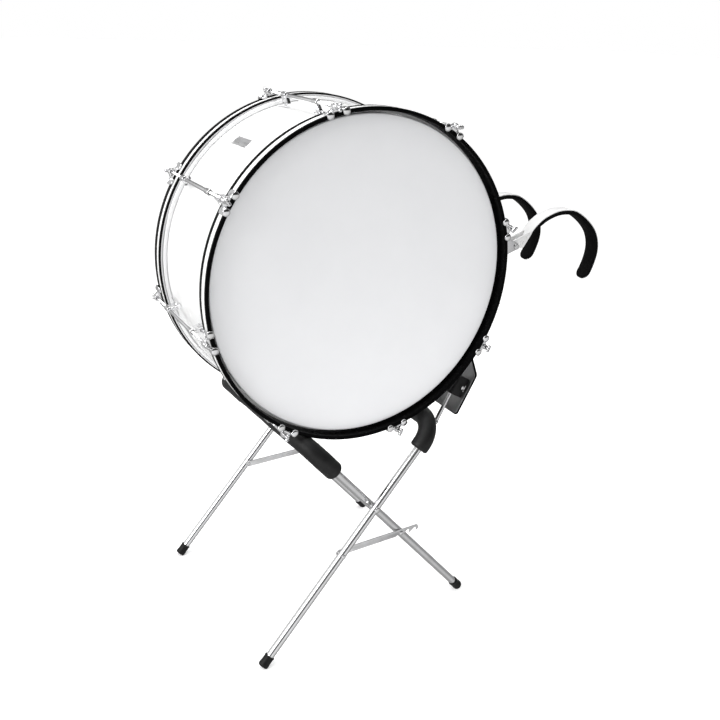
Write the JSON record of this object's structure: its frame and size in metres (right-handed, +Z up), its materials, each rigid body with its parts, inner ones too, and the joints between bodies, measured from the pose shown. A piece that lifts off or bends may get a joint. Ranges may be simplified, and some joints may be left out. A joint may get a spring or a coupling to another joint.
{
  "type": "bass drum",
  "caption": "Marching bass drum with claw-held hoops, resting on a folding padded X stand, with its shoulder carrier and belly plate attached.",
  "frame": {"origin": "on the floor, at the bottom centre of the whole object as it stands", "axes": "+Z up; the front head faces -Y and the drum axis runs along Y; the shoulder carrier is on the +X side"},
  "size_m": [1.0686, 0.5774, 1.2581],
  "materials": {
    "shell_white": "high gloss white lacquer over a ply shell",
    "hoop_black": "high gloss black lacquer with a white inlay band",
    "head_film": "smooth matt polyester film, slightly translucent white",
    "flesh_hoop_metal": "satin",
    "chrome": "polished chrome plate",
    "stand_chrome": "polished chrome plate on drawn tube",
    "strut_steel": "zinc plated, soft shine",
    "foam": "closed cell foam sleeve, matt",
    "rubber": "moulded rubber, matt",
    "carrier_chrome": "zinc plated steel rod, bright",
    "band_white": "white powder coat",
    "pad_black": "black fabric over foam",
    "clamp_black": "black satin powder coat",
    "plate_aluminium": "brushed"
  },
  "bodies": {
    "outer_frame": {"outer_frame": "stand_chrome", "outer_frame_pad": "foam", "outer_front_foot": "rubber", "outer_back_foot": "rubber"},
    "inner_frame": {"inner_frame": "stand_chrome", "inner_frame_pad": "foam", "inner_front_foot": "rubber", "inner_back_foot": "rubber"},
    "front_strut": {"front_strut": "strut_steel"},
    "back_strut": {"back_strut": "strut_steel"},
    "drum": {"shell": "shell_white", "front_head": "head_film", "back_head": "head_film", "front_flesh_hoop": "flesh_hoop_metal", "back_flesh_hoop": "flesh_hoop_metal", "front_hoop": "hoop_black", "back_hoop": "hoop_black", "front_claw_1": "chrome", "front_claw_2": "chrome", "front_claw_3": "chrome", "front_claw_4": "chrome", "front_claw_5": "chrome", "front_claw_6": "chrome", "front_claw_7": "chrome", "front_claw_8": "chrome", "back_claw_1": "chrome", "back_claw_2": "chrome", "back_claw_3": "chrome", "back_claw_4": "chrome", "back_claw_5": "chrome", "back_claw_6": "chrome", "back_claw_7": "chrome", "back_claw_8": "chrome", "lug_1": "chrome", "lug_2": "chrome", "lug_3": "chrome", "lug_4": "chrome", "lug_5": "chrome", "lug_6": "chrome", "lug_7": "chrome", "lug_8": "chrome", "carrier_frame": "carrier_chrome"},
    "tension_rod_1": {"tension_rod_1": "chrome"},
    "tension_rod_2": {"tension_rod_2": "chrome"},
    "tension_rod_3": {"tension_rod_3": "chrome"},
    "tension_rod_4": {"tension_rod_4": "chrome"},
    "tension_rod_5": {"tension_rod_5": "chrome"},
    "tension_rod_6": {"tension_rod_6": "chrome"},
    "tension_rod_7": {"tension_rod_7": "chrome"},
    "tension_rod_8": {"tension_rod_8": "chrome"},
    "front_shoulder_hook": {"front_shoulder_hook": "band_white", "front_shoulder_pad": "pad_black"},
    "back_shoulder_hook": {"back_shoulder_hook": "band_white", "back_shoulder_pad": "pad_black"},
    "belly_plate": {"belly_plate": "plate_aluminium", "belly_pad": "pad_black", "front_clamp": "clamp_black", "back_clamp": "clamp_black"},
    "front_clamp_screw": {"front_clamp_screw": "carrier_chrome"},
    "back_clamp_screw": {"back_clamp_screw": "carrier_chrome"}
  },
  "joints": [
    {"name": "drum_lift", "type": "slide", "parent": "outer_frame", "child": "drum", "axis": [0, 0, 1], "range_m": [0, 0.356]},
    {"name": "stand_fold", "type": "hinge", "parent": "outer_frame", "child": "inner_frame", "pos_m": [-0.1537, -0.00011, 0.334], "axis": [-0.0576, 0.9983, 0], "range_deg": [0, 68]},
    {"name": "front_strut_swing", "type": "hinge", "parent": "outer_frame", "child": "front_strut", "pos_m": [-0.22675, -0.25273, 0.23514], "axis": [0.0576, -0.9983, 0], "range_deg": [0, 38]},
    {"name": "back_strut_swing", "type": "hinge", "parent": "outer_frame", "child": "back_strut", "pos_m": [-0.2553, 0.24244, 0.23514], "axis": [0.0576, -0.9983, 0], "range_deg": [0, 38]},
    {"name": "tension_rod_1_turn", "type": "hinge", "parent": "drum", "child": "tension_rod_1", "pos_m": [-0.24417, -0.04611, 1.24813], "axis": [0, 1, 0], "continuous": true},
    {"name": "tension_rod_2_turn", "type": "hinge", "parent": "drum", "child": "tension_rod_2", "pos_m": [0.04476, -0.04611, 1.2034], "axis": [0, 1, 0], "continuous": true},
    {"name": "tension_rod_3_turn", "type": "hinge", "parent": "drum", "child": "tension_rod_3", "pos_m": [0.21743, -0.04611, 0.96747], "axis": [0, 1, 0], "continuous": true},
    {"name": "tension_rod_4_turn", "type": "hinge", "parent": "drum", "child": "tension_rod_4", "pos_m": [0.1727, -0.04611, 0.67854], "axis": [0, 1, 0], "continuous": true},
    {"name": "tension_rod_5_turn", "type": "hinge", "parent": "drum", "child": "tension_rod_5", "pos_m": [-0.06323, -0.04611, 0.50587], "axis": [0, 1, 0], "continuous": true},
    {"name": "tension_rod_6_turn", "type": "hinge", "parent": "drum", "child": "tension_rod_6", "pos_m": [-0.35216, -0.04611, 0.5506], "axis": [0, 1, 0], "continuous": true},
    {"name": "tension_rod_7_turn", "type": "hinge", "parent": "drum", "child": "tension_rod_7", "pos_m": [-0.52483, -0.04611, 0.78653], "axis": [0, 1, 0], "continuous": true},
    {"name": "tension_rod_8_turn", "type": "hinge", "parent": "drum", "child": "tension_rod_8", "pos_m": [-0.4801, -0.04611, 1.07546], "axis": [0, 1, 0], "continuous": true},
    {"name": "front_hook_tilt", "type": "hinge", "parent": "drum", "child": "front_shoulder_hook", "pos_m": [0.2583, -0.16761, 0.914], "axis": [0, -1, 0], "range_deg": [0, 75]},
    {"name": "back_hook_tilt", "type": "hinge", "parent": "drum", "child": "back_shoulder_hook", "pos_m": [0.2583, 0.05989, 0.914], "axis": [0, -1, 0], "range_deg": [0, 75]},
    {"name": "belly_plate_height", "type": "slide", "parent": "drum", "child": "belly_plate", "axis": [0.4756, 0, 0.8796], "range_m": [0, 0.08]},
    {"name": "front_clamp_screw_turn", "type": "hinge", "parent": "belly_plate", "child": "front_clamp_screw", "pos_m": [0.14883, -0.17011, 0.55768], "axis": [0, 1, 0], "continuous": true},
    {"name": "back_clamp_screw_turn", "type": "hinge", "parent": "belly_plate", "child": "back_clamp_screw", "pos_m": [0.14883, 0.07789, 0.55768], "axis": [0, 1, 0], "continuous": true}
  ],
  "couplings": [
    {"joint": "stand_fold", "follows": "drum_lift", "rad_per_m": 3.3333}
  ]
}
